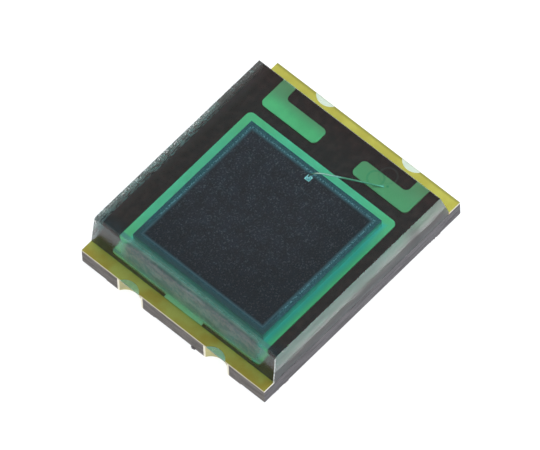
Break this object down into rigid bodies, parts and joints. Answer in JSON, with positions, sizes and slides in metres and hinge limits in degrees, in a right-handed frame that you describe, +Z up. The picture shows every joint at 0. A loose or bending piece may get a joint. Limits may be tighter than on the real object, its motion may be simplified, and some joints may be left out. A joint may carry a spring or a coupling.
{
  "type": "surface-mount silicon photodiode",
  "caption": "Flat rectangular photodiode: square silicon chip on a black laminate board with gold tracks and half-round end holes, wire-bonded and cast in a blue-green tinted clear block.",
  "frame": {"origin": "under the middle of the board, on the plane of the solder lands", "axes": "+Z up out of the light-sensitive face, +X towards the anode end with its two L-shaped fingers, +Y to the left seen from the cathode end"},
  "size_m": [0.005, 0.0042, 0.0011],
  "materials": {
    "laminate": "black laminate, sawn edges",
    "plated_track": "satin gold plating on copper",
    "hole_barrel": "plated copper, bright sawn edge",
    "hole_film": "translucent green film",
    "solder_land": "satin gold plating on copper",
    "adhesive": "silver-filled adhesive",
    "silicon": "polished top, sawn sides",
    "window_coating": "dark anti-reflection coating with a fine grain",
    "chip_metal": "thin bright metal",
    "gold_wire": "bright drawn gold",
    "tinted_block": "clear blue-green epoxy, sawn long sides"
  },
  "bodies": {
    "root": {"board_core": "laminate", "cathode_track": "plated_track", "anode_track": "plated_track", "cathode_hole_plating_left": "hole_barrel", "cathode_hole_plating_right": "hole_barrel", "anode_hole_plating_left": "hole_barrel", "anode_hole_plating_right": "hole_barrel", "cathode_hole_film_left": "hole_film", "cathode_hole_film_right": "hole_film", "anode_hole_film_left": "hole_film", "anode_hole_film_right": "hole_film", "cathode_land_left": "solder_land", "cathode_land_right": "solder_land", "anode_land_left": "solder_land", "anode_land_right": "solder_land", "die_attach": "adhesive", "photodiode_chip": "silicon", "active_window": "window_coating", "anode_contact": "chip_metal", "bond_wire": "gold_wire", "encapsulant": "tinted_block"}
  },
  "joints": []
}
